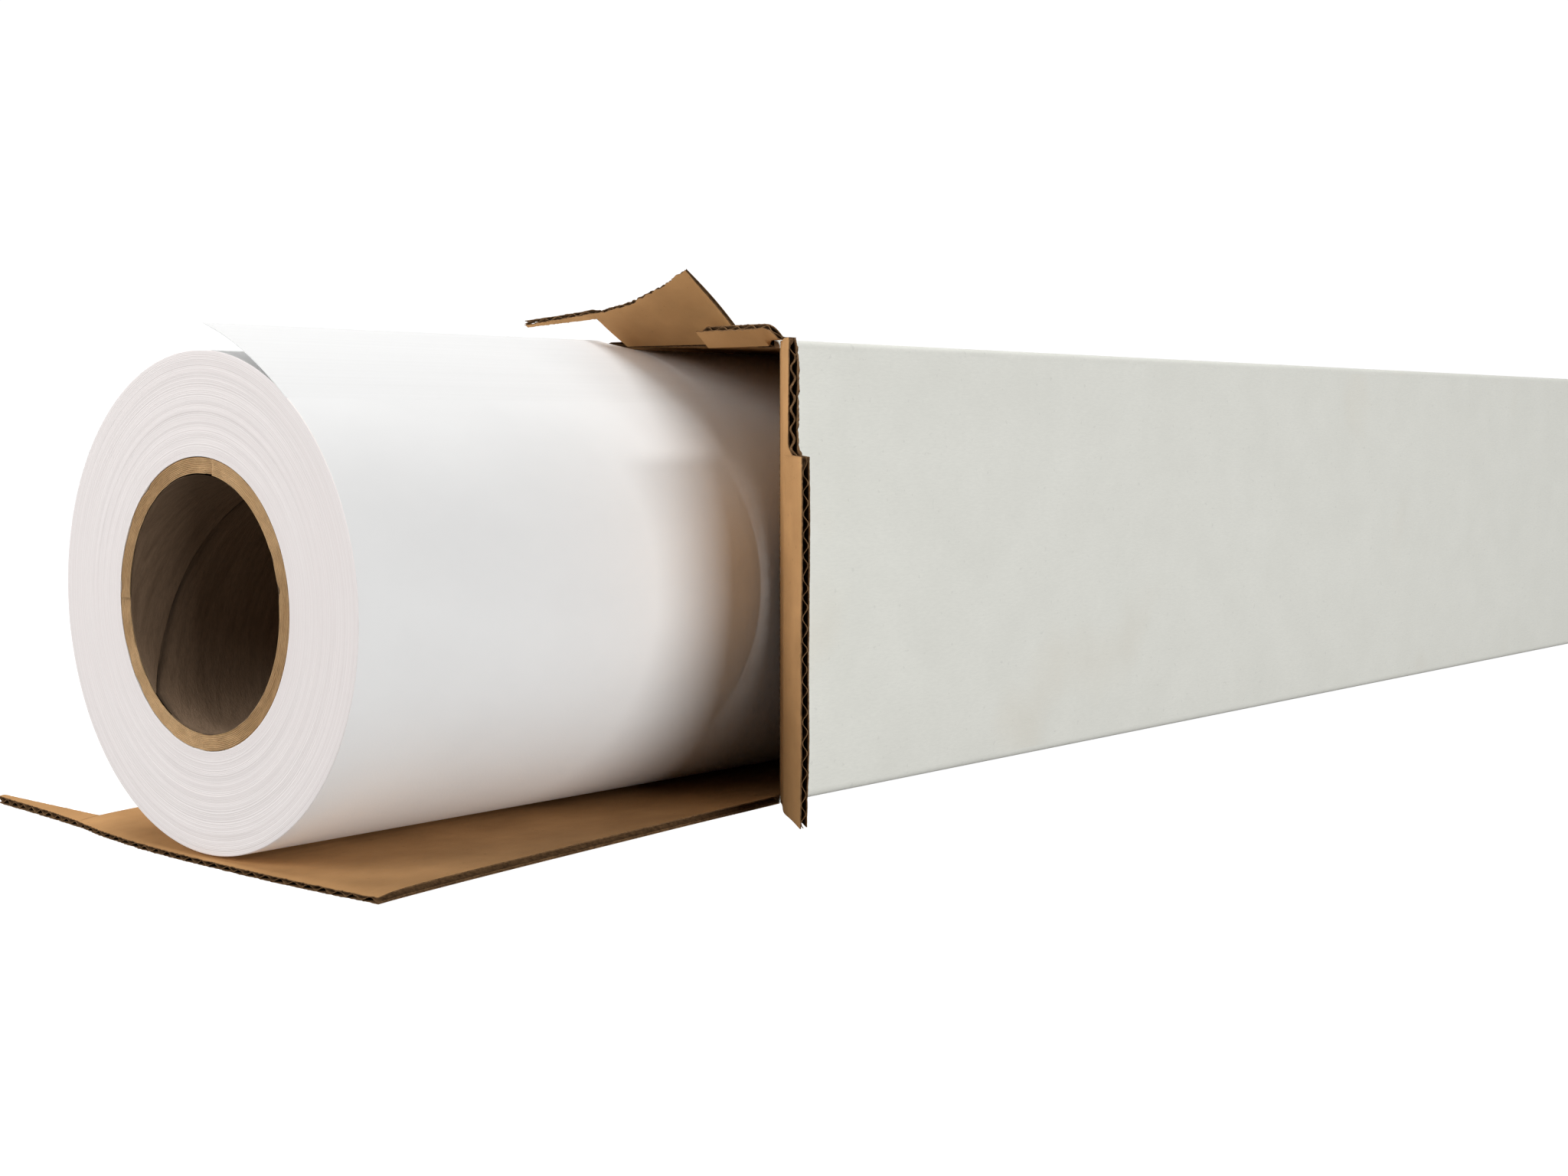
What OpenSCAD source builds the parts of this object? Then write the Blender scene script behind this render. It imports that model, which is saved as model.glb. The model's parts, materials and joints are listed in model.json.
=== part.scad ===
// Backdrop paper roll, standing part way out of its corrugated carton.
// The roll's axis is X and +X points into the carton, +Y is the carton's far side, +Z is up.
// The origin is the centre of the roll's exposed end face. All sizes are in millimetres.

/* [Paper roll] */
// Width of the backdrop paper, which is the length of the roll
roll_len = 1350; // [1060:10:2740]
// Diameter over the wound paper
roll_d = 148.7; // [120:0.1:149]
// Bore of the core tube, three inches
core_id = 76.2; // [50:0.1:90]
// Wall of the spiral-wound core tube
core_wall = 5.1; // [3:0.1:7]
// Thickness of the backdrop paper
paper_t = 0.25; // [0.15:0.01:0.4]
// How far the loose end of the paper springs up off the roll
tail_lift = 2.9; // [0.5:0.1:3]
// Angle round the roll that the loose end covers
tail_angle = 25; // [10:1:60]
// Width of the tape that starts the paper on the core
start_tape_w = 50; // [25:1:60]
// Thickness of that tape
start_tape_t = 0.3; // [0.1:0.05:0.5]

/* [Carton] */
// Inside width of the carton
carton_w = 155.4; // [153:0.1:190]
// Inside height of the carton, six inches
carton_h = 152.4; // [152:0.1:190]
// Free length left in the carton when the roll is pushed home
end_play = 12; // [6:1:40]
// Length of roll that stands out of the carton's mouth
stick_out = 166.3; // [60:0.1:400]
// Gap between the roll and the carton's floor
roll_gap = 0.3; // [0.3:0.05:2]
// Width of the glued tab inside the carton's long seam
glue_tab_w = 32; // [20:1:40]
// Thickness of the glued tab, crushed flat
glue_tab_t = 2; // [0.6:0.1:2.5]

/* [Corrugated board] */
// Thickness of each liner
liner_t = 0.4; // [0.2:0.05:0.6]
// Height of the flutes between the liners
flute_h = 2; // [1.2:0.1:4]
// Distance from one flute to the next
flute_pitch = 6.4; // [4:0.1:9]
// Thickness of the fluting paper
flute_t = 0.3; // [0.15:0.05:0.4]

/* [Open end flaps] */
// Length of the bottom flap, which covers the whole mouth when it is shut
bottom_flap_len = 168.2; // [120:0.1:190]
// Length of the narrow torn ear beside the bottom flap's end
bottom_ear_len = 60; // [10:1:90]
// Width of that ear where it leaves the flap
bottom_ear_w = 15; // [6:1:30]
// Length of the two side flaps
side_flap_len = 48.4; // [40:0.1:74]
// How far each side flap's lower edge is cut clear of the carton's base
side_flap_rise = 5.9; // [3.5:0.1:10]
// How far each side flap's upper edge is cut clear of the carton's top
side_flap_drop = 0.6; // [0.2:0.1:8]
// Size of the corner nipped off the side flaps' lower ends
side_flap_nip = 2; // [1:0.5:15]
// Angle that the near side flap is folded out from straight
near_flap_angle = 52; // [5:1:120]
// Angle that the far side flap is folded out from straight
far_flap_angle = 60; // [5:1:120]
// Height of the torn corner at the top of the near side flap
near_tear_h = 37; // [10:1:60]
// What is left beside that torn corner of the white liner
near_tear_white = 31; // [20:1:48]
// What is left there of the fluting
near_tear_flute = 30; // [20:1:48]
// What is left there of the kraft liner
near_tear_kraft = 28; // [10:1:48]
// Length of the torn top flap at its near side, where most is left
top_flap_len = 36.4; // [30:0.1:60]
// Length of the torn top flap at its far side
top_flap_far_len = 24.2; // [16:0.1:40]
// Width of what is left of the top flap, at its free end
top_flap_w = 50; // [30:1:120]
// How much wider the top flap is at its fold
top_flap_flare = 5; // [0:0.5:20]
// Depth of the tear in the carton's top that the top flap folds in
top_tear = 9; // [6:0.5:20]
// Distance from the carton's near side to the top flap
top_flap_inset = 23.5; // [12:0.5:60]
// Length of the narrow torn ear beside the top flap's end
top_ear_len = 31.5; // [10:0.5:50]
// Angle that the top flap stands up from straight
top_flap_angle = 33; // [33:1:120]
// Length of the stub left at the near top corner, in front of the top flap
stub_len = 8; // [5:0.5:9]
// Width that the stub and the top flap share across the carton
stub_overlap = 7; // [0:0.5:20]
// Angle that the stub is bent up
stub_angle = 40; // [20:1:40]

/* [Closed end] */
// Length of the closed end's side flaps and of the one from the top
end_flap_len = 48.4; // [30:0.1:74]
// Width of the sealing tape
tape_w = 48; // [24:1:75]
// Thickness of the sealing tape
tape_t = 0.15; // [0.1:0.01:0.3]

/* [Hidden] */

// Smoothness of the round faces
$fn = 96;

// Colours
kraft = [0.76, 0.56, 0.36];
dark_kraft = [0.52, 0.36, 0.22];
white_board = [0.88, 0.89, 0.87];
white_paper = [0.96, 0.95, 0.94];
core_brown = [0.70, 0.55, 0.38];
tape_brown = [0.72, 0.58, 0.40];

// Layers of the board, from its kraft face outwards
KRAFT = 0;
FLUTING = 1;
WHITE = 2;
board_t = 2 * liner_t + flute_h;

// Roll radii, with a running gap that lets the paper turn on the core
roll_r = roll_d / 2;
bore_r = core_id / 2;
core_r = bore_r + core_wall;
turn_gap = 0.05;
winding_r = core_r + turn_gap;

// Loose end: it springs off the near side and ends just short of the top
tail_end = 93;
tail_steps = 12;

// Start tape stops this far from each end of the roll
start_tape_inset = 10;
start_tape_angle = start_tape_w / core_r * 180 / PI;
start_tape_steps = 14;

// Carton faces
mouth_x = stick_out;
carton_len = roll_len + end_play;
end_x = mouth_x + carton_len;
floor_z = -(roll_r + roll_gap);
ceiling_z = floor_z + carton_h;
base_z = floor_z - board_t;
roof_z = ceiling_z + board_t;
half_w = carton_w / 2;
side_y = half_w + board_t;

// Each open flap starts this far from the fold line that it turns on
fold_gap = 0.5;
// Clearance at the edges of boards that pass beside each other
edge_gap = 0.4;

// Near edge of the top flap
top_flap_y = -side_y + top_flap_inset;

// Side flaps, measured up from the carton's base
side_flap_z = base_z + side_flap_rise;
side_flap_h = roof_z - side_flap_drop - side_flap_z;

// Torn ears: how wide they are at the tip, and how far the tear rounds into the flap
ear_tip = 3;
ear_round = 6;

// The closed end's boards lie one over another: sides, then top, then cover
end_top_x = end_x + board_t;
end_cover_x = end_top_x + board_t;
end_face_x = end_cover_x + board_t;
end_cover_len = roof_z - floor_z - edge_gap;

// Outline of a fluting sheet as heights over its valleys, one [along, up] point at each bend
flute_bends = [[0.18, 0], [0.44, 1], [0.74, 1], [1, 0]];
function flute_line(v, lift) = let (n = floor(v / flute_pitch), p = v / n)
    concat([[0, lift]], [for (i = [0:n - 1], b = flute_bends)
        [(i + b[0]) * p, lift + b[1] * (flute_h - flute_t)]]);
function reversed(list) = [for (i = [len(list) - 1:-1:0]) list[i]];

// One layer of flat board, u along the flutes and v across them, kraft face on z = 0
module ply(layer, u, v) {
    if (layer == KRAFT) {
        color(kraft) cube([u, v, liner_t]);
    } else if (layer == WHITE) {
        color(white_board) translate([0, 0, liner_t + flute_h]) cube([u, v, liner_t]);
    } else {
        color(dark_kraft) translate([0, 0, liner_t]) rotate([90, 0, 90])
            linear_extrude(u) polygon(concat(flute_line(v, flute_t), reversed(flute_line(v, 0))));
    }
}

// The same layer cut to an outline that lies inside [0, u] and [0, v]
module cut_ply(layer, u, v, outline) {
    intersection() {
        ply(layer, u, v);
        color(layer == WHITE ? white_board : kraft) translate([0, 0, -1])
            linear_extrude(board_t + 2) polygon(outline);
    }
}

// Paper roll

module core_tube() {
    color(core_brown) rotate([0, 90, 0]) difference() {
        cylinder(h = roll_len, r = core_r);
        translate([0, 0, -1]) cylinder(h = roll_len + 2, r = bore_r);
    }
}

// Points of an arc of the start tape, as the flats that stiff tape takes up on a tube
function tape_arc(r) = [for (i = [0:start_tape_steps]) let (a = start_tape_angle * i / start_tape_steps)
    [r * cos(a), r * sin(a)]];

module start_tape() {
    color(tape_brown) translate([start_tape_inset, 0, 0]) rotate([90, 0, 90])
        linear_extrude(roll_len - 2 * start_tape_inset)
        polygon(concat(tape_arc(winding_r + start_tape_t), reversed(tape_arc(winding_r))));
}

module paper_winding() {
    color(white_paper) difference() {
        rotate([0, 90, 0]) difference() {
            cylinder(h = roll_len, r = roll_r);
            translate([0, 0, -1]) cylinder(h = roll_len + 2, r = winding_r);
        }
        start_tape();
    }
}

// Arc of the loose end, rising off the roll from t = 0 to its free edge at t = 1
function tail_point(t, out) = let (a = tail_end + tail_angle * (1 - t), r = roll_r + tail_lift * t * t + out)
    [r * cos(a), r * sin(a)];

module loose_end() {
    ts = [for (i = [0:tail_steps]) i / tail_steps];
    color(white_paper) rotate([90, 0, 90]) linear_extrude(roll_len)
        polygon(concat([for (t = ts) tail_point(t, paper_t + turn_gap)],
            [for (t = reversed(ts)) tail_point(t, turn_gap)]));
}

// Carton walls

module bottom_wall(layer) {
    translate([mouth_x, -half_w, floor_z]) mirror([0, 0, 1]) ply(layer, end_face_x - mouth_x, carton_w);
}

// The top's front edge has the notch that its torn flap pulled out
module top_wall(layer) {
    notch_y = top_flap_y - edge_gap + half_w;
    notch_w = top_flap_w + top_flap_flare + 2 * edge_gap;
    translate([mouth_x, -half_w, ceiling_z]) difference() {
        ply(layer, end_cover_x - mouth_x, carton_w);
        translate([-1, notch_y, -1]) cube([top_tear + 1, notch_w, board_t + 2]);
    }
}

// The white liner carries on round both folds of a side wall as a quarter ring
module side_wall(layer) {
    translate([mouth_x, -half_w, floor_z]) rotate([90, 0, 0]) ply(layer, carton_len, carton_h);
    if (layer == WHITE) {
        fold_round(ceiling_z, 0);
        fold_round(floor_z, 1);
    }
}

module fold_round(z, flip) {
    color(white_board) translate([mouth_x, -half_w, z]) mirror([0, 0, flip]) rotate([90, 0, 90])
        linear_extrude(carton_len) intersection() {
            difference() {
                circle(board_t);
                circle(board_t - liner_t);
            }
            translate([-board_t, 0]) square(board_t);
        }
}

module near_wall(layer) {
    side_wall(layer);
}

module far_wall(layer) {
    mirror([0, 1, 0]) side_wall(layer);
}

// The tab belongs to the top panel, folded down and glued inside the far wall
module glue_tab() {
    color(kraft) translate([mouth_x, half_w - glue_tab_t, ceiling_z - glue_tab_w])
        cube([carton_len, glue_tab_t, glue_tab_w]);
}

// Root of the top flap that stayed on at the near corner, bent up
module torn_stub() {
    near_y = -half_w + edge_gap;
    color(kraft) translate([mouth_x, near_y, roof_z]) rotate([0, stub_angle, 0])
        translate([-stub_len, 0, -board_t]) cube([stub_len, top_flap_y + stub_overlap - near_y, board_t]);
}

// Open end flaps, each with u running from its free end back to its fold

module bottom_flap(layer) {
    u = bottom_flap_len - fold_gap;
    w = 2 * side_y;
    v = w + bottom_ear_len;
    outline = [[0, 0], [u, 0], [u, w], [bottom_ear_w + ear_round, w], [bottom_ear_w, w + ear_round],
        [bottom_ear_w, v], [bottom_ear_w - ear_tip, v]];
    translate([mouth_x - bottom_flap_len, -side_y, floor_z]) mirror([0, 0, 1]) cut_ply(layer, u, v, outline);
}

module top_flap(layer) {
    u = top_flap_len - fold_gap;
    w = top_flap_w;
    v = w + top_ear_len;
    far_u = top_flap_len - top_flap_far_len;
    ear_u = far_u + ear_tip;
    outline = [[0, 0], [u, 0], [u, w + top_flap_flare], [ear_u + ear_round, w], [ear_u, w + ear_round],
        [ear_u, v], [far_u, v], [far_u, w], [far_u / 2, w / 2]];
    translate([mouth_x + top_tear, top_flap_y, roof_z]) rotate([0, top_flap_angle, 0])
        translate([-top_flap_len, 0, -board_t]) cut_ply(layer, u, v, outline);
}

// Side flap folded out to an angle; `torn` is how much of it is left at the torn top corner
module side_flap(layer, angle, torn) {
    u = side_flap_len - fold_gap;
    h = side_flap_h;
    tear = side_flap_len - torn;
    outline = [[0, side_flap_nip], [side_flap_nip / 2, 0], [u, 0], [u, h], [tear, h],
        [tear, h - near_tear_h + ear_round / 2], [0, h - near_tear_h]];
    translate([mouth_x, -side_y, side_flap_z]) rotate([0, 0, angle]) translate([-side_flap_len, board_t, 0])
        rotate([90, 0, 0]) cut_ply(layer, u, h, outline);
}

module near_flap(layer) {
    side_flap(layer, near_flap_angle, [near_tear_kraft, near_tear_flute, near_tear_white][layer]);
}

module far_flap(layer) {
    mirror([0, 1, 0]) side_flap(layer, far_flap_angle, near_tear_white);
}

// Closed end, with u running from each fold to the flap's free edge

module end_near_flap(layer) {
    translate([end_x, -half_w, floor_z + edge_gap]) rotate([90, 0, 90])
        ply(layer, end_flap_len, carton_h - 2 * edge_gap);
}

module end_far_flap(layer) {
    mirror([0, 1, 0]) end_near_flap(layer);
}

module end_top_flap(layer) {
    translate([end_top_x, half_w - edge_gap, ceiling_z]) rotate([0, 90, 0])
        mirror([0, 1, 0]) ply(layer, end_flap_len, carton_w - 2 * edge_gap);
}

module end_cover(layer) {
    translate([end_cover_x, -half_w + edge_gap, floor_z]) rotate([0, -90, 0])
        mirror([0, 0, 1]) ply(layer, end_cover_len, carton_w - 2 * edge_gap);
}

// Tape folded over the edge where the cover meets the top
module end_tape() {
    lap = tape_w / 2;
    color(tape_brown) translate([0, half_w, 0]) rotate([90, 0, 0]) linear_extrude(carton_w)
        polygon([[end_face_x - lap, roof_z], [end_face_x, roof_z], [end_face_x, roof_z - lap],
            [end_face_x + tape_t, roof_z - lap], [end_face_x + tape_t, roof_z + tape_t],
            [end_face_x - lap, roof_z + tape_t]]);
}

core_tube();
start_tape();
paper_winding();
loose_end();
bottom_wall(KRAFT);  // bottom_wall_kraft_liner
bottom_wall(FLUTING);  // bottom_wall_fluting
bottom_wall(WHITE);  // bottom_wall_white_liner
top_wall(KRAFT);  // top_wall_kraft_liner
top_wall(FLUTING);  // top_wall_fluting
top_wall(WHITE);  // top_wall_white_liner
near_wall(KRAFT);  // near_wall_kraft_liner
near_wall(FLUTING);  // near_wall_fluting
near_wall(WHITE);  // near_wall_white_liner
far_wall(KRAFT);  // far_wall_kraft_liner
far_wall(FLUTING);  // far_wall_fluting
far_wall(WHITE);  // far_wall_white_liner
glue_tab();
torn_stub();
bottom_flap(KRAFT);  // bottom_flap_kraft_liner
bottom_flap(FLUTING);  // bottom_flap_fluting
bottom_flap(WHITE);  // bottom_flap_white_liner
top_flap(KRAFT);  // top_flap_kraft_liner
top_flap(FLUTING);  // top_flap_fluting
top_flap(WHITE);  // top_flap_white_liner
near_flap(KRAFT);  // near_flap_kraft_liner
near_flap(FLUTING);  // near_flap_fluting
near_flap(WHITE);  // near_flap_white_liner
far_flap(KRAFT);  // far_flap_kraft_liner
far_flap(FLUTING);  // far_flap_fluting
far_flap(WHITE);  // far_flap_white_liner
end_near_flap(KRAFT);  // end_near_flap_kraft_liner
end_near_flap(FLUTING);  // end_near_flap_fluting
end_near_flap(WHITE);  // end_near_flap_white_liner
end_far_flap(KRAFT);  // end_far_flap_kraft_liner
end_far_flap(FLUTING);  // end_far_flap_fluting
end_far_flap(WHITE);  // end_far_flap_white_liner
end_top_flap(KRAFT);  // end_top_flap_kraft_liner
end_top_flap(FLUTING);  // end_top_flap_fluting
end_top_flap(WHITE);  // end_top_flap_white_liner
end_cover(KRAFT);  // end_cover_kraft_liner
end_cover(FLUTING);  // end_cover_fluting
end_cover(WHITE);  // end_cover_white_liner
end_tape();
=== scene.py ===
"""Backdrop paper roll, standing part way out of its corrugated carton. Metres, in the row frame:
+X along the roll into the carton, +Y to the carton's far side, +Z up, origin at the roll's end face."""
import json
import math

import bpy
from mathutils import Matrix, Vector, noise


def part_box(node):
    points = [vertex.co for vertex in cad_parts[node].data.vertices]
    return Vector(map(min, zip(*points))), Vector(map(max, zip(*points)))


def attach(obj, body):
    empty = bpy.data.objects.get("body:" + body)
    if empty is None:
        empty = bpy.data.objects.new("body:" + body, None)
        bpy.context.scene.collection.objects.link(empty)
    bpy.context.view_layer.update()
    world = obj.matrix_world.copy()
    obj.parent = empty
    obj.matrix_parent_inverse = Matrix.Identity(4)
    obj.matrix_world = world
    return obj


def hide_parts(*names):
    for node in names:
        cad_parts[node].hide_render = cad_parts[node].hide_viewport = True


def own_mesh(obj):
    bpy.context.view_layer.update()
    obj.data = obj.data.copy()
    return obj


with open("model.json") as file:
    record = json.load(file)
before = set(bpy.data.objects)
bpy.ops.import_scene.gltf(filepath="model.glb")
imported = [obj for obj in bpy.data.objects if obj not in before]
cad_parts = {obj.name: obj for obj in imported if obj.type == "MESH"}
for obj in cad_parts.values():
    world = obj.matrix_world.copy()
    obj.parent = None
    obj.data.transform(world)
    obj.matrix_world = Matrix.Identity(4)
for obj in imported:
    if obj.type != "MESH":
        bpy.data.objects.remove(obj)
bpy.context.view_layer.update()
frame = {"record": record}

MM = 0.001


def cad(node):
    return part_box(node)


# ---------------------------------------------------------------- sizes from the frame
roll_lo, roll_hi = cad("paper_winding")
ROLL_LEN = roll_hi.x
ROLL_R = roll_hi.z
CORE_R = cad("core_tube")[1].z
BORE_R = frame["record"]["mounts"][0]["dims"]["r_mm"] * MM
MOUTH = cad("near_wall_kraft_liner")[0].x
WALL_END = cad("near_wall_kraft_liner")[1].x
HALF_W = cad("far_wall_kraft_liner")[0].y
SIDE = cad("far_wall_white_liner")[1].y
BOARD = SIDE - HALF_W
LINER = cad("bottom_wall_kraft_liner")[1].z - cad("bottom_wall_kraft_liner")[0].z
FLUTE = BOARD - 2 * LINER
FLOOR_Z = cad("bottom_wall_kraft_liner")[1].z
CEILING = cad("top_wall_kraft_liner")[0].z
BASE = FLOOR_Z - BOARD
ROOF = CEILING + BOARD
PITCH = 6.4 * MM
CORE_BEVEL = 0.35 * MM
FLUTE_PAPER = 0.3 * MM
FOLD_GAP = 0.5 * MM

# The bottom panel is bowed, so both of its long folds stand this far above the ground
FOLD_RISE = 5.5 * MM
# The top panel was pushed up by the roll: its middle stands this far above its long folds
TOP_BOW = 2.3 * MM
# It flattens again over this much of the closed end
BOW_FADE = 150 * MM
# The crushed part of the top's mouth: its depth, and how fast it fades to each side
CRUSH_DEPTH, CRUSH_SIDE = 22 * MM, 9 * MM
# Folding a side flap out crushes the mouth of the side wall back to its inner face
MOUTH_CRUSH = 2.7 * MM
# What is left of the torn top flap folds at the back of a notch this deep
TEAR = 9 * MM
FLAP_NEAR = cad("top_flap_white_liner")[0].y
FLAP_FAR = FLAP_NEAR + 50 * MM
FLAP_FLARE = 5.4 * MM
NOTCH_NEAR, NOTCH_FAR = FLAP_NEAR - 0.4 * MM, FLAP_FAR + FLAP_FLARE
# Edges turned by more than this are drawn sharp
SHARP_EDGE = math.radians(35)
# Frayed and torn edges
CUT_FRAY = 0.35 * MM
TEAR_FRAY = 1.3 * MM


# ---------------------------------------------------------------- meshes
def solid(name, verts, faces, flat, material, body, replaced=(), slot=None):
    """A piece from points and faces; flat is each point's place on the flat sheet, for the materials."""
    mesh = bpy.data.meshes.new(name)
    mesh.from_pydata(verts, [], faces)
    mesh.validate()
    layer = mesh.attributes.new("flat", "FLOAT_VECTOR", "POINT")
    layer.data.foreach_set("vector", [c for point in flat for c in point])
    mesh.shade_smooth()
    mesh.set_sharp_from_angle(angle=SHARP_EDGE)
    mesh.materials.append(material)
    obj = bpy.data.objects.new(name, mesh)
    bpy.context.collection.objects.link(obj)
    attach(obj, body)
    if replaced:
        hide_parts(*replaced)
    return obj


def steps(a, b, gap):
    n = max(1, math.ceil((b - a) / gap))
    return [a + (b - a) * i / n for i in range(n + 1)]


def sheet(name, stations, span, low, high, place, shares, rim=None, shown=1, **kw):
    """Closed sheet: at each station v it runs over span(v) along u, between heights low(v) and high(v).
    rim is the material of every face but the shown one: 1 is the high face and 0 the low one."""
    verts, flat = [], []
    n = len(shares)
    for v in stations:
        u0, u1 = span(v)
        for t in shares:
            u = u0 + (u1 - u0) * t
            for w in (low(v), high(v)):
                verts.append(place(u, v, w))
                flat.append((u, v, w))
    faces = []
    for i in range(len(stations) - 1):
        a, b = i * n * 2, (i + 1) * n * 2
        for j in range(n - 1):
            p, q = a + 2 * j, b + 2 * j
            faces.append((p, p + 2, q + 2, q))
            faces.append((p + 1, q + 1, q + 3, p + 3))
        faces.append((a, b, b + 1, a + 1))
        e, f = a + 2 * (n - 1), b + 2 * (n - 1)
        faces.append((e, e + 1, f + 1, f))
    last = (len(stations) - 1) * n * 2
    for j in range(n - 1):
        p, q = 2 * j, last + 2 * j
        faces.append((p, p + 1, p + 3, p + 2))
        faces.append((q, q + 2, q + 3, q + 1))
    obj = solid(name, verts, faces, flat, **kw)
    if rim:
        obj.data.materials.append(rim)
        for face in obj.data.polygons:
            if any(k % 2 != shown for k in face.vertices):
                face.material_index = 1
    return obj


def even_shares(n):
    return [i / n for i in range(n + 1)]


def wobble(v, seed, size, scale):
    return size * noise.noise(Vector((v * scale, seed * 7.3, seed * 1.7)))


def fray(v, seed, size):
    """Uneven edge of cut or torn board."""
    return wobble(v, seed, size, 900) + wobble(v, seed + 3, size * 0.8, 260)


def flute(v):
    """Height of the fluting over the kraft face: waves that handling has leaned and crushed unevenly."""
    lean = 0.12 * PITCH * noise.noise(Vector((v * 120, 5.1, 0)))
    crush = 1 - 0.35 * abs(noise.noise(Vector((v * 90, 9.4, 0))))
    return LINER + (FLUTE - FLUTE_PAPER) * crush * (0.5 - 0.5 * math.cos(2 * math.pi * (v + lean) / PITCH))


# Each layer of the board, with its inner and outer height over the kraft face
LAYERS = (("kraft_liner", lambda v: 0, lambda v: LINER),
          ("fluting", flute, lambda v: flute(v) + FLUTE_PAPER),
          ("white_liner", lambda v: LINER + FLUTE, lambda v: BOARD))


def board(group, body, low_v, high_v, span, place, shares, extra=()):
    """Corrugated board as its kraft liner, fluting and white liner. span(layer, v) gives the edges."""
    stations = sorted(set(steps(low_v, high_v, PITCH / 8)) | set(extra))
    for k, (layer, low, high) in enumerate(LAYERS):
        node = f"{group}_{layer}"
        # Every face of a liner but its shown one takes the darkened fluting colours, painted shade for the inside of
        # the board
        sheet(f"{node}_look", stations, lambda v, k=k: span(k, v), low, high, place, shares,
              rim=FLUTING_AND_SHADE if k != 1 else None, shown=k // 2,
              material=BOARD_LOOK[k], body=body, replaced=(node,), slot=layer)


# ---------------------------------------------------------------- materials
class Nodes:
    """Short names for the shader nodes that the materials share."""

    def __init__(self, name, rough, specular=0.25):
        self.mat = bpy.data.materials.new(name)
        self.mat.use_nodes = True
        self.tree = self.mat.node_tree
        self.bsdf = self.tree.nodes["Principled BSDF"]
        self.bsdf.inputs["Roughness"].default_value = rough
        self.bsdf.inputs["Specular IOR Level"].default_value = specular
        flat = self.add("ShaderNodeAttribute")
        flat.attribute_name = "flat"
        self.flat = flat.outputs["Vector"]

    def add(self, kind, **inputs):
        node = self.tree.nodes.new(kind)
        for key, value in inputs.items():
            self.put(node.inputs[key], value)
        return node

    def put(self, socket, value):
        if isinstance(value, bpy.types.NodeSocket):
            self.tree.links.new(value, socket)
        else:
            socket.default_value = value

    def stretch(self, vector, scale):
        node = self.add("ShaderNodeMapping", Vector=vector, Scale=scale)
        return node.outputs["Vector"]

    def noise(self, vector, scale, detail=3.0, rough=0.55):
        node = self.add("ShaderNodeTexNoise", Vector=vector, Scale=scale, Detail=detail, Roughness=rough)
        return node.outputs["Fac"]

    def ramp(self, value, low, high, to_low=0.0, to_high=1.0):
        node = self.add("ShaderNodeMapRange", Value=value)
        for key, number in (("From Min", low), ("From Max", high), ("To Min", to_low), ("To Max", to_high)):
            node.inputs[key].default_value = number
        return node.outputs["Result"]

    def maths(self, kind, a, b=0.0):
        node = self.tree.nodes.new("ShaderNodeMath")
        node.operation = kind
        self.put(node.inputs[0], a)
        self.put(node.inputs[1], b)
        return node.outputs[0]

    def blend(self, share, a, b):
        node = self.tree.nodes.new("ShaderNodeMix")
        node.data_type = "RGBA"
        self.put(node.inputs[0], share)
        self.put(node.inputs[6], (*a, 1) if isinstance(a, tuple) else a)
        self.put(node.inputs[7], (*b, 1) if isinstance(b, tuple) else b)
        return node.outputs[2]

    def split(self, vector):
        return self.add("ShaderNodeSeparateXYZ", Vector=vector).outputs

    def finish(self, colour, height=None, depth=0.0001):
        self.put(self.bsdf.inputs["Base Color"], colour)
        if height is not None:
            bump = self.add("ShaderNodeBump", Height=height, Distance=depth)
            self.put(self.bsdf.inputs["Normal"], bump.outputs["Normal"])
        return self.mat


def board_paper(name, light, dark, fibre_depth, washboard, stain=None, specks=0.35):
    """Paper face of the board: fibres, cloudy tone, and the faint ribs of the flutes behind it."""
    n = Nodes(name, 0.8, 0.15)
    cloud = n.noise(n.flat, 38, 5)
    fibre = n.noise(n.stretch(n.flat, (350, 1500, 1500)), 1, 4, 0.7)
    speck = n.noise(n.flat, 420, 2, 0.4)
    ribs = n.maths("COSINE", n.maths("MULTIPLY", n.split(n.flat)[1], 2 * math.pi / PITCH))
    tone = n.blend(n.ramp(cloud, 0.3, 0.72), dark, light)
    tone = n.blend(n.ramp(fibre, 0.35, 0.75, 0, 0.35), tone, tuple(c * 0.82 for c in light))
    tone = n.blend(n.ramp(ribs, -1, 1, 0, washboard), tone, tuple(c * 0.86 for c in light))
    tone = n.blend(n.ramp(speck, 0.70, 0.74, 0, specks), tone, tuple(c * 0.55 for c in dark))
    if stain:
        marks = n.noise(n.flat, 9, 3, 0.5)
        tone = n.blend(n.ramp(marks, 0.60, 0.78, 0, 0.55), tone, stain)
    height = n.maths("ADD", n.maths("MULTIPLY", ribs, 2.5 * washboard), n.maths("MULTIPLY", fibre, fibre_depth))
    return n.finish(tone, height, 0.00012)


def fluting_paper_and_shade():
    n = Nodes("fluting_paper_and_shade", 0.9, 0.1)
    grain = n.noise(n.flat, 700, 4, 0.65)
    # Brown of the fluting paper, with painted shade for the hollows between the flutes that makes it far darker than
    # the kraft; the same colours go on the liners' inner faces and cut edges
    tone = n.blend(n.ramp(grain, 0.3, 0.7), (0.085, 0.045, 0.02), (0.23, 0.13, 0.06))
    return n.finish(tone, grain, 0.0002)


def white_backdrop():
    """Uncoated white paper: almost plain, with faint cross lines from winding."""
    n = Nodes("white_backdrop", 0.62, 0.3)
    tooth = n.noise(n.flat, 1400, 3, 0.6)
    cloud = n.noise(n.stretch(n.flat, (1, 9, 6)), 4, 3)
    tone = n.blend(n.ramp(cloud, 0.3, 0.7), (0.885, 0.885, 0.88), (0.915, 0.915, 0.91))
    return n.finish(tone, tooth, 0.00003)


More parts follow.
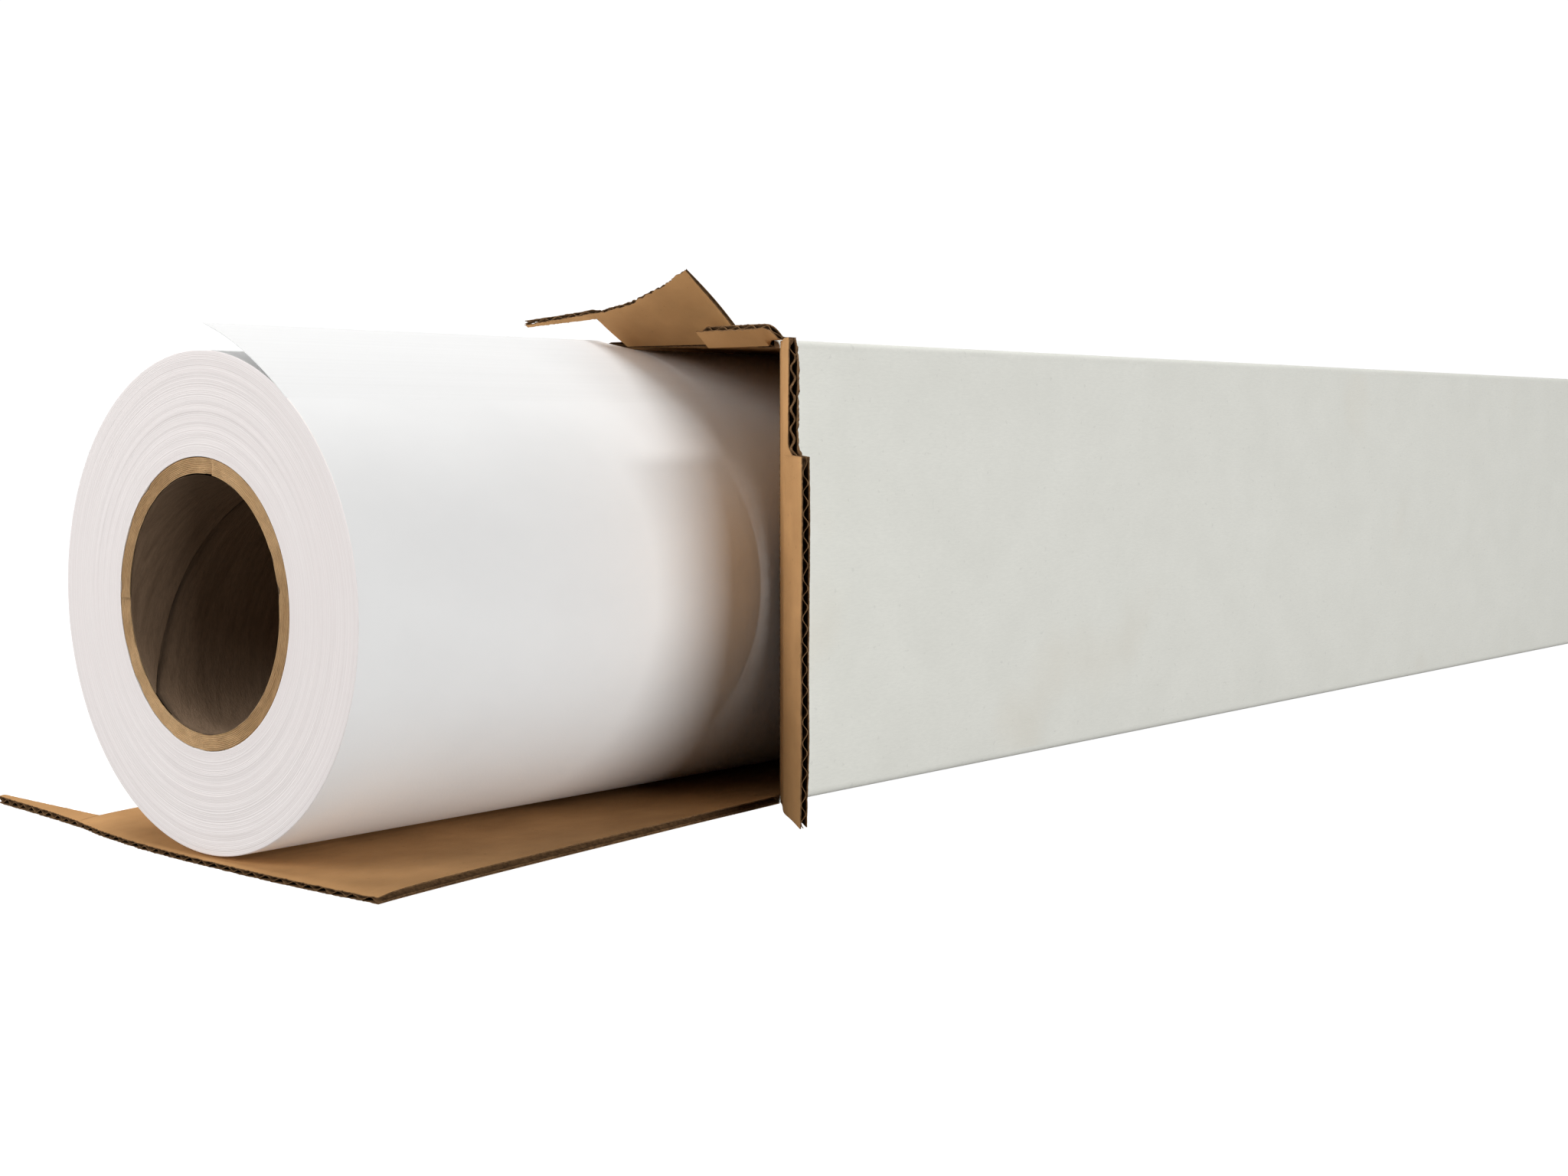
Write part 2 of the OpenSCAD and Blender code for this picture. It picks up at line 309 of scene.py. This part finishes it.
def paper_edges():
    """End of the wound paper: hundreds of edges, some a little proud, some soiled or pinched dark."""
    n = Nodes("paper_edges", 0.75, 0.15)
    radius = n.split(n.flat)[0]
    rings = n.add("ShaderNodeTexNoise", Scale=2600, Detail=2.0, Roughness=0.5)
    rings.noise_dimensions = "1D"
    n.put(rings.inputs["W"], radius)
    bands = n.add("ShaderNodeTexNoise", Scale=170, Detail=3.0, Roughness=0.6)
    bands.noise_dimensions = "1D"
    n.put(bands.inputs["W"], radius)
    cloud = n.noise(n.stretch(n.flat, (90, 14, 1)), 1, 3)
    tone = n.blend(n.ramp(rings.outputs["Fac"], 0.32, 0.68), (0.83, 0.77, 0.755), (0.89, 0.84, 0.825))
    tone = n.blend(n.ramp(bands.outputs["Fac"], 0.55, 0.75, 0, 0.35), tone, (0.80, 0.735, 0.72))
    tone = n.blend(n.ramp(cloud, 0.5, 0.8, 0, 0.3), tone, (0.91, 0.87, 0.855))
    height = n.maths("ADD", rings.outputs["Fac"], n.maths("MULTIPLY", bands.outputs["Fac"], 1.2))
    return n.finish(tone, height, 0.0001)


def core_board(name, light, dark, seam=False):
    """Spiral-wound greyish kraft tube: long fibres that follow the winding, and a soiled cloudiness."""
    n = Nodes(name, 0.78, 0.2)
    fibre = n.noise(n.stretch(n.flat, (900, 160, 160)), 1, 4, 0.7)
    cloud = n.noise(n.flat, 45, 4)
    tone = n.blend(n.ramp(cloud, 0.3, 0.7), dark, light)
    tone = n.blend(n.ramp(fibre, 0.4, 0.75, 0, 0.5), tone, tuple(c * 0.6 for c in dark))
    if seam:
        # Glue and shadow along the edge of each turn of the ply
        across = n.split(n.flat)[2]
        line = n.maths("MULTIPLY", n.ramp(across, 0.0, 0.035, 1, 0), n.ramp(cloud, 0.38, 0.55, 0.15, 0.9))
        tone = n.blend(line, tone, tuple(c * 0.2 for c in dark))
    return n.finish(tone, fibre, 0.00018)


def tape_paper():
    n = Nodes("tape_paper", 0.45, 0.4)
    grain = n.noise(n.flat, 600, 3)
    return n.finish(n.blend(n.ramp(grain, 0.3, 0.7), (0.42, 0.28, 0.15), (0.52, 0.36, 0.20)), grain, 0.00004)


KRAFT = board_paper("kraft_paper", (0.56, 0.31, 0.13), (0.40, 0.215, 0.085), 0.5, 0.08)
WHITE = board_paper("white_liner_paper", (0.87, 0.87, 0.81), (0.83, 0.83, 0.77), 0.3, 0.015,
                    stain=(0.76, 0.71, 0.61), specks=0.15)
FLUTING_AND_SHADE = fluting_paper_and_shade()
BOARD_LOOK = (KRAFT, FLUTING_AND_SHADE, WHITE)
PAPER = white_backdrop()
EDGES = paper_edges()
CORE_END = core_board("core_end", (0.64, 0.43, 0.23), (0.50, 0.32, 0.16))
# The bore's colours are painted shade: the same tube board as the core's end, made about half as bright for the shade
# inside the tube
CORE_BORE_PAINTED_SHADE = core_board("core_bore_painted_shade", (0.31, 0.21, 0.135), (0.22, 0.145, 0.09), seam=True)
TAPE = tape_paper()


# ---------------------------------------------------------------- carton walls
# Shares of a panel's length, closer together near the mouth
WALL_SHARES = [share ** 2.2 for share in even_shares(26)]


def rise(y):
    """Height of the bowed bottom panel above the ground."""
    return FOLD_RISE * (y / SIDE) ** 2


def slack(a, b, seed):
    """Gentle unevenness of a board panel that has been handled."""
    return noise.noise(Vector((a * 5, b * 14, seed * 3.1))) * 0.5 * MM


def wall_span(end, seed, crush=0.0):
    def span(layer, v):
        return MOUTH + (crush, 0.9 * crush, 0)[layer] + abs(fray(v, seed + layer, CUT_FRAY)), end
    return span


def side_place(sign):
    def place(u, v, w):
        share = (CEILING - v) / (CEILING - FLOOR_Z)
        edge = math.sin(math.pi * share)
        return (u, sign * (HALF_W + w - abs(slack(u, v, sign)) * edge), v + rise(HALF_W) * share)
    return place


def bottom_place(u, v, w):
    return (u, v, FLOOR_Z - w + rise(v))


def smooth(t):
    t = max(0.0, min(1.0, t))
    return t * t * (3 - 2 * t)


def top_bow(v):
    """Height of the bowed top panel above its long folds."""
    return TOP_BOW * (1 - min(1, abs(v) / HALF_W) ** 2)


def top_place(u, v, w):
    """The torn mouth of the top is crushed thin on its far side, where it was pulled over the roll."""
    edge = 1 - (v / HALF_W) ** 2
    bow = top_bow(v) * smooth((WALL_END - u) / BOW_FADE)
    across = smooth((v - FLAP_FAR) / CRUSH_SIDE) * smooth((HALF_W - v) / CRUSH_SIDE)
    crushed = across * smooth(1 - (u - MOUTH) / CRUSH_DEPTH)
    return (u, v, CEILING + bow + w * (1 - 0.62 * crushed) + (abs(slack(u, v, 4)) - 0.1 * MM) * edge * (1 - crushed))


def top_span(layer, v):
    """The top's front edge, with the notch that its torn flap pulled out."""
    start = MOUTH + abs(fray(v, 17 + layer, CUT_FRAY))
    if NOTCH_NEAR < v < NOTCH_FAR:
        start = MOUTH + TEAR + abs(fray(v, 18 + layer, CUT_FRAY))
    return start, cad("top_wall_white_liner")[1].x


def carton_walls():
    for sign, name in ((-1, "near"), (1, "far")):
        group = f"{name}_wall"
        board(group, "carton", FLOOR_Z, CEILING, wall_span(WALL_END, 5 + sign, MOUTH_CRUSH), side_place(sign),
              WALL_SHARES)
    board("bottom_wall", "carton", -HALF_W, HALF_W, wall_span(cad("bottom_wall_white_liner")[1].x, 11),
          bottom_place, WALL_SHARES)
    board("top_wall", "carton", -HALF_W, HALF_W, top_span, top_place, WALL_SHARES,
          extra=(NOTCH_NEAR, NOTCH_NEAR + 0.2 * MM, NOTCH_FAR - 0.2 * MM, NOTCH_FAR))


def carton_folds():
    """The four long folds: the liners carry on round them in a quarter turn."""
    for sign in (-1, 1):
        for top in (False, True):
            def place(u, v, w, sign=sign, top=top):
                angle = v / BOARD * math.pi / 2
                y = sign * (HALF_W + w * math.cos(angle))
                if top:
                    return (u, y, CEILING + w * math.sin(angle))
                return (u, y, FLOOR_Z + rise(HALF_W) - w * math.sin(angle))
            name = f"{'near' if sign < 0 else 'far'}_{'top' if top else 'bottom'}_fold"
            seed = 21 + sign + 3 * top
            sheet(name, steps(0, BOARD, BOARD / 8),
                  lambda v, seed=seed: (MOUTH + abs(fray(v, seed, CUT_FRAY)), WALL_END),
                  lambda v: BOARD - LINER, lambda v: BOARD, place, WALL_SHARES,
                  material=WHITE, body="carton", slot="white_liner")
            sheet(f"{name}_core", steps(0, BOARD, BOARD / 4),
                  lambda v, seed=seed: (MOUTH + abs(fray(v, seed + 1, CUT_FRAY)), WALL_END),
                  lambda v: 0.3 * MM, lambda v: BOARD - LINER, place, WALL_SHARES,
                  material=FLUTING_AND_SHADE, body="carton", slot="fluting")


# ---------------------------------------------------------------- open end flaps
def bottom_flap():
    """Lies out in front of the mouth under the roll; its end bows, and runs on into a thin torn ear."""
    end_x, reach = cad("bottom_flap_white_liner")[0].x, cad("bottom_flap_white_liner")[1].y
    low_y = -15 * MM
    near_back, far_back = 2.3 * MM, 7.4 * MM
    ear_root, ear_tip = 12.8 * MM, 12.6 * MM

    def end_edge(v):
        if v < low_y:
            return end_x + near_back * ((low_y - v) / (low_y + SIDE)) ** 2
        return end_x + far_back * ((v - low_y) / (SIDE - low_y)) ** 2.5

    def span(layer, v):
        if v > SIDE:
            t = (v - SIDE) / (reach - SIDE)
            inner = ear_root + (ear_tip - ear_root) * t + fray(v, 31 + layer, CUT_FRAY * 0.6)
            outer = end_edge(SIDE) + (ear_tip - 2.2 * MM - end_edge(SIDE)) * t ** 0.85
            return outer + fray(v, 34 + layer, CUT_FRAY), inner
        crushed = 0.25 * layer * MM
        return end_edge(v) + crushed + fray(v, 37 + layer, CUT_FRAY * 1.4), MOUTH - FOLD_GAP

    def place(u, v, w):
        along = max(0, min(1, u / MOUTH))
        bow = rise(min(abs(v), SIDE)) * along ** 0.8
        crush = 1 - 0.3 * math.exp(-max(0, u - end_edge(min(v, SIDE))) / (5 * MM))
        dent = 0.5 * MM * noise.noise(Vector((u * 30, v * 22, 3.3))) * along
        inland = min(1, (SIDE - abs(min(v, SIDE))) / (30 * MM) + 0.3)
        return (u, v, BASE + (BOARD - w) * crush + bow + abs(dent) * inland)

    board("bottom_flap", "bottom_flap", -SIDE, reach, span, place, even_shares(34),
          extra=(SIDE, SIDE + 0.3 * MM))


def side_flap(sign, angle, torn):
    """A side flap folded outwards; torn gives each layer's length at the torn top corner."""
    name = "near_flap" if sign < 0 else "far_flap"
    lo, hi = cad(f"{name}_white_liner")
    low, high = lo.z, hi.z
    length = 48.4 * MM
    tear_z = high - 37 * MM
    crushed_fold = 24 * MM
    ripped_corner = 7 * MM

    def span(layer, v):
        end = length - 0.4 * MM * layer + fray(v, 41 + layer + 9 * sign, CUT_FRAY * 1.6)
        end -= 1.5 * MM * smooth((low + 26 * MM - v) / (26 * MM)) * (0.6 + 0.6 * layer)
        if v > tear_z:
            ragged = fray(v, 47 + layer, TEAR_FRAY * (0.5 + 0.5 * layer))
            corner = 0.8 * max(0, v - (high - ripped_corner)) * (layer > 0)
            step = max(0, 1 - (v - tear_z) / (3 * MM)) * 6 * MM
            end = min(end, torn[layer] * MM + ragged - corner + step)
        return FOLD_GAP, end

    def place(u, v, w):
        thick = 0.06 + 0.94 * smooth(0.5 * u / crushed_fold + 0.5 * min(1, u / crushed_fold))
        inward = (BOARD - w) * thick
        swell = 0.5 * MM * noise.noise(Vector((u * 40, v * 25, 2.2 * sign))) * min(1, u / crushed_fold)
        x = -u * math.cos(angle) - (inward + swell) * math.sin(angle)
        y = -u * math.sin(angle) + (inward + swell) * math.cos(angle)
        return (MOUTH + x, -sign * y + sign * SIDE, v)

    board(name, name, low, high, span, place, even_shares(20), extra=(tear_z, tear_z + 0.3 * MM))


def top_flap():
    """What is left of the torn top flap: it stands up, curls to its near end and trails a thin ear."""
    far_y, ear_y = FLAP_FAR, cad("top_flap_white_liner")[1].y
    fold = Vector((MOUTH + TEAR, ROOF))
    near_end = fold + Vector((-29, 23.0)) * MM
    far_end = fold + Vector((-22.3, 11.8)) * MM
    ear_end = fold + Vector((-25.3, 8.9)) * MM

    def share(v):
        return max(0, min(1, (far_y - v) / (far_y - FLAP_NEAR)))

    def root(v):
        return fold + Vector((0, top_bow(v)))

    def end(v):
        if v > far_y:
            return far_end.lerp(ear_end, (v - far_y) / (ear_y - far_y))
        s = share(v)
        return Vector((far_end.x + (near_end.x - far_end.x) * s ** 1.1,
                       far_end.y + (near_end.y - far_end.y) * s ** 1.75))

    def length(v):
        return (end(v) - root(v)).length

    def span(layer, v):
        reach = length(v)
        if v > far_y:
            t = (v - far_y) / (ear_y - far_y)
            return reach - (2.9 - 1.3 * t) * MM + fray(v, 56 + layer, CUT_FRAY), reach + fray(v, 53 + layer, CUT_FRAY)
        return FOLD_GAP, reach + fray(v, 59 + layer, CUT_FRAY * 1.8) - 0.3 * MM * layer

    def place(u, v, w):
        out = end(v) - root(v)
        lean = math.atan2(out.y, -out.x)
        reach = length(v)
        t = min(1, u / reach)
        sag = 0.9 * MM * math.sin(math.pi * t) * share(v)
        thin = 1 - 0.4 * math.exp(-max(0, reach - u) / (5 * MM)) - 0.45 * math.exp((FLAP_NEAR - v) / (5 * MM))
        inward = (BOARD - w) * max(0.3, thin)
        x = root(v).x - u * math.cos(lean) - (inward - sag) * math.sin(lean)
        z = root(v).y + u * math.sin(lean) - (inward - sag) * math.cos(lean)
        flare = FLAP_FLARE * (1 - t) * (1 - share(v))
        return (x, v + flare - 0.4 * MM * (flare > 0), z)

    board("top_flap", "top_flap", FLAP_NEAR, ear_y, span, place, even_shares(26),
          extra=(far_y, far_y + 0.3 * MM))


def torn_stub():
    """Root of the top flap that stayed at the near corner: bent up, its corner rolled over the fold."""
    left, right = cad("torn_stub")[1].y, -SIDE - 7 * MM
    length = 8 * MM
    roll_w = 9 * MM
    lean = math.radians(40)
    drop = 5.8 * MM

    def rolled(v):
        return max(0, (right + roll_w - v) / roll_w)

    def span_of(layer):
        def span(v):
            frayed = 1.6 * MM * max(0, 1 - (left - v) / (3 * MM)) * (layer != 0)
            return 0.0, length - 0.25 * MM * layer - 2.2 * MM * rolled(v) ** 3 - frayed + fray(v, 61 + layer, CUT_FRAY)
        return span

    def place(u, v, w):
        turn = rolled(v)
        inward = BOARD - w
        x = MOUTH - u * math.cos(lean) - inward * math.sin(lean) * (1 - 0.4 * turn)
        z = ROOF + u * math.sin(lean) - inward * math.cos(lean) * (1 - 0.5 * turn) - drop * turn ** 2.4
        if v < -HALF_W:
            z = max(z, ROOF - 0.35 * MM + 0.25 * w)
        return (x, v + 0.35 * inward * turn, z)

    stations = steps(right, left, PITCH / 8)
    for k, (layer, low, high) in enumerate(LAYERS):
        sheet(f"torn_stub_{layer.split('_')[0]}", stations, span_of(k), low, high, place, even_shares(12),
              rim=FLUTING_AND_SHADE if k != 1 else None, shown=k // 2, material=BOARD_LOOK[k], body="carton",
              replaced=("torn_stub",) if k == 0 else (), slot=layer)


# ---------------------------------------------------------------- closed end
def closed_end():
    """The side flaps, the top's flap over them and the cover outside, taped along the top."""
    even = even_shares(12)
    gap = cad("end_near_flap_kraft_liner")[0].z
    side_x = cad("end_near_flap_kraft_liner")[0].x
    reach = cad("end_near_flap_kraft_liner")[1].y + HALF_W
    for sign, name in ((-1, "end_near_flap"), (1, "end_far_flap")):
        board(name, "carton", gap + rise(HALF_W), cad(f"{name}_kraft_liner")[1].z,
              lambda layer, v, s=sign: (0.0, reach + fray(v, 91 + s + layer, CUT_FRAY)),
              lambda u, v, w, s=sign: (side_x + w, s * (HALF_W - u), v), even)
    for name, seed in (("end_top_flap", 95), ("end_cover", 99)):
        lo, hi = cad(f"{name}_kraft_liner")
        down = name == "end_top_flap"

        def place(u, v, w, lo=lo, down=down):
            return (lo.x + w, v, CEILING - u if down else FLOOR_Z + rise(v) + u * (1 - rise(v) / (ROOF - FLOOR_Z)))

        board(name, "carton", lo.y, hi.y, lambda layer, v, lo=lo, hi=hi, seed=seed:
              (0.0, hi.z - lo.z + fray(v, seed + layer, CUT_FRAY) - CUT_FRAY), place, even)
    lo, hi = cad("end_tape")
    lap = ROOF - lo.z
    face_x = lo.x + lap

    def tape_place(u, v, w):
        if u < lap:
            return (face_x - lap + u, v, ROOF + w)
        return (face_x + w, v, ROOF - (u - lap))

    sheet("end_tape_look", steps(lo.y, hi.y, 3 * MM), lambda v: (fray(v, 103, CUT_FRAY), 2 * lap), lambda v: 0,
          lambda v: hi.z - ROOF, tape_place, even_shares(24), material=TAPE, body="carton",
          replaced=("end_tape",), slot="tape")


def glue_tab():
    """Tab of the long seam, crushed and glued inside the far wall."""
    lo, hi = cad("glue_tab")
    sheet("glue_tab_look", steps(lo.z, hi.z, 1.6 * MM), lambda v: (MOUTH + abs(fray(v, 107, CUT_FRAY)), hi.x),
          lambda v: 0, lambda v: hi.y - lo.y - 0.25 * MM * (0.5 + 0.5 * math.cos(2 * math.pi * v / PITCH)),
          lambda u, v, w: (u, HALF_W - 0.6 * MM - w * 0.7, v), WALL_SHARES, material=KRAFT, body="carton",
          replaced=("glue_tab",), slot="kraft_liner")


# ---------------------------------------------------------------- paper roll
def lathe(name, profile, around, material, body, replaced, slot, wrap):
    """Closed ring of a profile of (x, radius) points about the X axis; wrap moves each point by its angle."""
    verts, flat, faces = [], [], []
    n = len(profile)
    for i in range(around):
        a = 2 * math.pi * i / around
        for x, r in profile:
            x, r = wrap(x, r, a)
            verts.append((x, r * math.cos(a), r * math.sin(a)))
            flat.append((r, a * ROLL_R, x))
    for i in range(around):
        k = (i + 1) % around
        for j in range(n):
            m = (j + 1) % n
            faces.append((i * n + j, k * n + j, k * n + m, i * n + m))
    return solid(name, verts, faces, flat, material, body, replaced, slot=slot)


def paper_roll():
    """Wound paper: its end is a field of layer edges that telescope by fractions of a millimetre."""
    inner = CORE_R + 0.2 * MM
    rings = steps(inner, ROLL_R - 0.25 * MM, 0.55 * MM)

    def telescope(r):
        step = wobble(r, 71, 0.14 * MM, 900) + wobble(r, 72, 0.22 * MM, 130)
        return abs(step)

    front = [(telescope(r), r) for r in rings]
    back = [(ROLL_LEN - telescope(r + 1), r) for r in reversed(rings)]
    length = [0.3 * MM, 1.2 * MM, *steps(20 * MM, ROLL_LEN - 20 * MM, 40 * MM)]
    length += [ROLL_LEN - 1.2 * MM, ROLL_LEN - 0.3 * MM]
    side = [(x, ROLL_R) for x in length]
    profile = front + side + back

    def settle(x, r, a):
        pinch = noise.noise(Vector((r * 300, math.cos(a) * 2, math.sin(a) * 2)))
        near_end = max(0, 1 - x / (4 * MM)) if x < ROLL_LEN / 2 else 0
        return x + abs(pinch) * 0.12 * MM * near_end, r

    obj = lathe("paper_roll", profile, 360, PAPER, "roll", ("paper_winding",), "backdrop_paper", settle)
    obj.data.materials.append(EDGES)
    for face in obj.data.polygons:
        if abs(face.normal.x) > 0.6:
            face.material_index = 1


def loose_end():
    """The paper's free end springs up off the near side in front of the mouth; the carton's top holds
    down the rest of it, and presses the front flatter as the roll slides home."""
    start, stop = math.radians(126), math.radians(92.7)
    thick = 0.25 * MM
    free_lift, held_lift = 7.8 * MM, 5.2 * MM
    held_from, held_over = 156 * MM, 20 * MM
    clear = 0.1 * MM

    def place(u, v, w):
        a = start + (stop - start) * v
        held = smooth((u - held_from) / held_over)
        lift = free_lift + (held_lift - free_lift) * held
        wave = 1 - 0.04 * (1 + math.sin(u * 21)) * 0.5 * held
        r = ROLL_R + lift * v ** 1.6 * wave + w - thick + 0.01 * MM
        return (u, r * math.cos(a), r * math.sin(a))

    obj = sheet("loose_end_look", even_shares(30), lambda v: (clear, ROLL_LEN - clear),
                lambda v: 0, lambda v: thick, place, [share ** 1.3 for share in even_shares(120)],
                material=PAPER, body="roll", replaced=("loose_end",), slot="backdrop_paper")
    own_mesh(obj)


def start_tape():
    """Tape that fixes the first turn of paper to the core, sealed under the winding."""
    lo, hi = cad("start_tape")
    wide = math.atan2(hi.z, lo.y)

    def place(u, v, w):
        r = CORE_R + 0.06 * MM + w
        return (u, r * math.cos(v), r * math.sin(v))

    sheet("start_tape_look", [wide * share for share in even_shares(20)], lambda v: (lo.x, hi.x), lambda v: 0,
          lambda v: 0.13 * MM, place, even_shares(40), material=TAPE, body="roll",
          replaced=("start_tape",), slot="tape")


def core():
    """Spiral-wound tube: its wall shows plies at the end, and each inner ply laps the next."""
    plies = 9
    outer = [(CORE_BEVEL, CORE_R), (ROLL_LEN - CORE_BEVEL, CORE_R)]
    wall = CORE_R - BORE_R
    inner_r = BORE_R + 0.4 * MM

    def end_ring(sign, base):
        ring = []
        for i in range(plies * 3 + 1):
            t = i / (plies * 3)
            notch = 0.28 * MM if i % 3 == 2 else 0.0
            ring.append((base + sign * (notch + 0.1 * MM), inner_r + (wall - 0.4 * MM) * t))
        return ring

    def ragged(x, r, a):
        depth = (CORE_R - r) / wall
        at_front = max(0, 1 - x / (3 * MM))
        chip = max(0, noise.noise(Vector((math.cos(a) * 7, math.sin(a) * 7, r * 400)))) * 0.8 * MM
        nick = 1.6 * MM * max(0, 1 - abs(a - math.radians(97)) / math.radians(3)) * (0.4 + 0.6 * depth)
        return x + (chip + nick) * at_front, r

    profile = end_ring(1, 0) + outer + list(reversed(end_ring(-1, ROLL_LEN)))
    lathe("core_tube_wall", profile, 360, CORE_END, "roll", ("core_tube",), "core_board", ragged)
    inner_ply(inner_r)


def inner_ply(radius):
    """Innermost ply: a ribbon wound at a steep pitch, each turn's edge standing over the last."""
    turn = 116 * MM
    first_seam = 16 * MM
    across = 14
    around = 120
    lap = 0.32 * MM
    front, back = 0.45 * MM, ROLL_LEN - 0.45 * MM
    turns = math.ceil(ROLL_LEN / turn) + 2
    verts, flat, faces = [], [], []
    for i in range(turns * around + 1):
        a = 2 * math.pi * i / around
        for j in range(across + 1):
            t = j / across
            x = turn * (i / around - 2 + t) + first_seam
            x = min(max(x, front), back)
            edge = wobble(a, 81, 0.6 * MM, 1.3) if j in (0, across) else 0
            for thick in (0, 0.16 * MM):
                r = radius - 0.05 * MM - lap * t + thick
                verts.append((min(max(x + edge, front), back), r * math.cos(a), r * math.sin(a)))
                flat.append((x, a * BORE_R, t))
    n = (across + 1) * 2
    for i in range(turns * around):
        p, q = i * n, (i + 1) * n
        for j in range(across):
            k = 2 * j
            faces.append((p + k, q + k, q + k + 2, p + k + 2))
            faces.append((p + k + 1, p + k + 3, q + k + 3, q + k + 1))
        faces.append((p, p + 1, q + 1, q))
        e, f = p + 2 * across, q + 2 * across
        faces.append((e, f, f + 1, e + 1))
    # The inner ply takes the bore's colours, which are painted shade for the inside of the tube
    solid("core_inner_ply", verts, faces, flat, CORE_BORE_PAINTED_SHADE, "roll", slot="core_board")


# ---------------------------------------------------------------- stage
def camera():
    """The photo's view, from a fit to the core, the roll's end and the carton's edges."""
    pitch, heading = math.radians(-4.28), math.radians(-48.84)
    data = bpy.data.cameras.new("camera")
    data.sensor_width = 36
    data.lens = 48.07
    cam = bpy.data.objects.new("camera", data)
    cam.location = (-0.3486, -0.5321, 0.0507)
    cam.rotation_euler = (math.radians(90) + pitch, 0, heading)
    bpy.context.collection.objects.link(cam)
    bpy.context.scene.camera = cam


# Strength of the light that the room gives from all round, and of the white the camera sees behind
ROOM_LIGHT, BACKGROUND = 0.15, 1.05


def area_light(name, place, target, wide, high, power):
    data = bpy.data.lights.new(name, "AREA")
    data.shape = "RECTANGLE"
    data.size = wide
    data.size_y = high
    data.energy = power
    lamp = bpy.data.objects.new(name, data)
    lamp.location = place
    lamp.rotation_euler = (Vector(target) - Vector(place)).to_track_quat("-Z", "Y").to_euler()
    bpy.context.collection.objects.link(lamp)


def stage():
    """White surround that the camera sees, and a dim room with three large lamps that light the object."""
    size = 12
    mesh = bpy.data.meshes.new("floor")
    z = BASE - 0.2 * MM
    mesh.from_pydata([(-size, -size, z), (size, -size, z), (size, size, z), (-size, size, z)], [], [(0, 1, 2, 3)])
    floor = bpy.data.objects.new("floor", mesh)
    bpy.context.collection.objects.link(floor)
    n = Nodes("pale_floor", 0.9, 0.0)
    grain = n.noise(n.add("ShaderNodeTexCoord").outputs["Object"], 30, 2)
    mesh.materials.append(n.finish(n.blend(grain, (0.20, 0.20, 0.20), (0.22, 0.22, 0.22))))
    n.bsdf.inputs["Emission Color"].default_value = (1, 1, 1, 1)
    n.put(n.bsdf.inputs["Emission Strength"], n.add("ShaderNodeLightPath").outputs["Is Camera Ray"])
    world = bpy.data.worlds.new("studio")
    world.use_nodes = True
    tree = world.node_tree
    back = tree.nodes["Background"]
    back.inputs["Color"].default_value = (1, 1, 1, 1)
    seen = tree.nodes.new("ShaderNodeMapRange")
    seen.inputs["To Min"].default_value = ROOM_LIGHT
    seen.inputs["To Max"].default_value = BACKGROUND
    tree.links.new(tree.nodes.new("ShaderNodeLightPath").outputs["Is Camera Ray"], seen.inputs["Value"])
    tree.links.new(seen.outputs["Result"], back.inputs["Strength"])
    bpy.context.scene.world = world
    area_light("overhead", (0.1, 0.5, 1.7), (0.1, 0, 0), 1.0, 1.0, 22)
    area_light("left", (-1.7, 0.7, 0.9), (0.1, 0, 0), 1.3, 1.3, 37)
    area_light("front", (0.25, -3.0, 0.12), (0.25, 0, 0), 2.4, 0.3, 60)
    bpy.context.scene.view_settings.view_transform = "Standard"


carton_walls()
carton_folds()
bottom_flap()
side_flap(-1, math.radians(52), (28, 30, 31))
side_flap(1, math.radians(60), (29, 30, 31))
top_flap()
torn_stub()
paper_roll()
loose_end()
start_tape()
core()
glue_tab()
closed_end()
camera()
stage()
